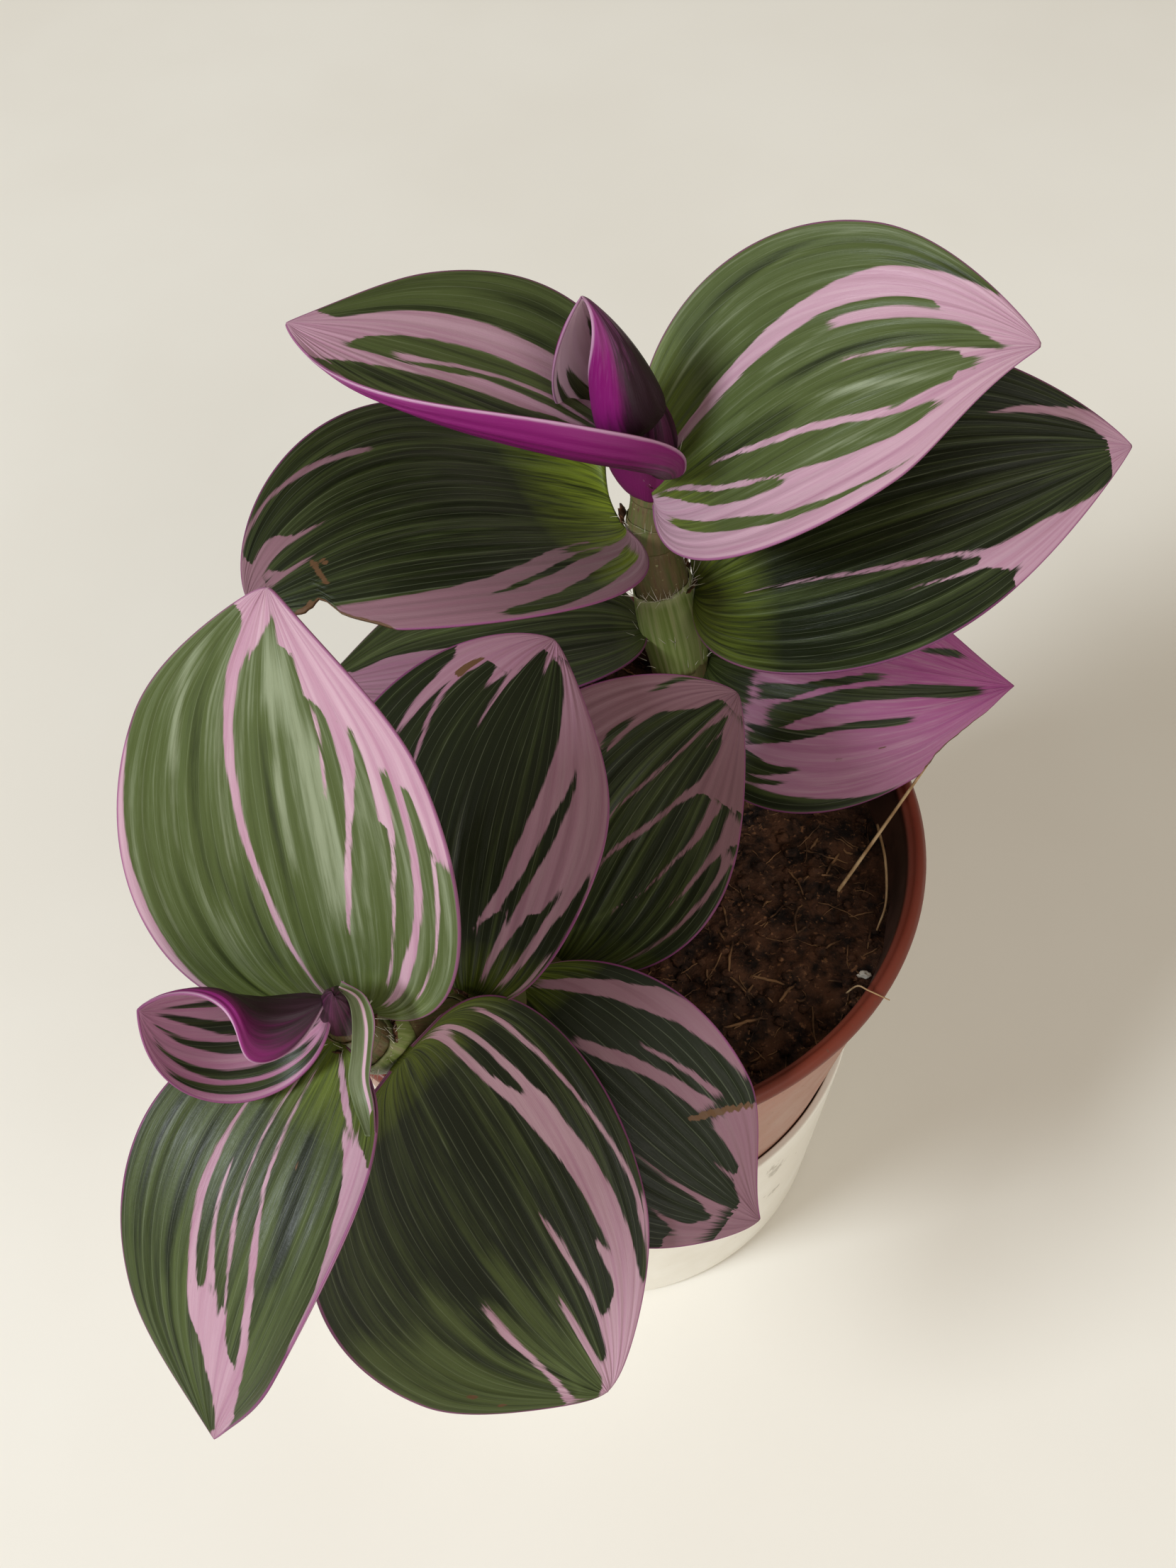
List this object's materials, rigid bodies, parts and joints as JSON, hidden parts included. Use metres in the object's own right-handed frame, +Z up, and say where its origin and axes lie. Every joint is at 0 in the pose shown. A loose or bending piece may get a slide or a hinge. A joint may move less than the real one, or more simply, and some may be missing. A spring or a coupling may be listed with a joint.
{
  "type": "potted tradescantia",
  "caption": "Potted tradescantia with broad oval striped leaves on two leaning shoots, growing in soil in a tapered nursery pot that stands inside a plain white cup.",
  "frame": {"origin": "Centre of the outer cup's flat underside, on the surface that the part stands on.", "axes": "+Z is up along the pot's axis. -Y faces the viewer of the picture and +X is to the viewer's right."},
  "size_m": [0.1378, 0.1453, 0.1769],
  "materials": {
    "leaf": "satin",
    "young_leaf": "satin",
    "stem": "satin",
    "pot": "matte",
    "cup": "semi gloss",
    "soil": "rough"
  },
  "bodies": {
    "root": {"leaf_a1": "leaf", "leaf_a2": "leaf", "leaf_a3": "young_leaf", "leaf_a4": "leaf", "leaf_a5": "leaf", "leaf_a6": "leaf", "leaf_a7": "leaf", "leaf_b1": "leaf", "leaf_b2": "young_leaf", "leaf_b3": "leaf", "leaf_b4": "leaf", "leaf_b5": "leaf", "leaf_b6": "leaf", "leaf_b7": "leaf", "stem_a": "stem", "stem_b": "stem", "pot": "pot", "outer_cup": "cup", "soil": "soil"}
  },
  "joints": []
}
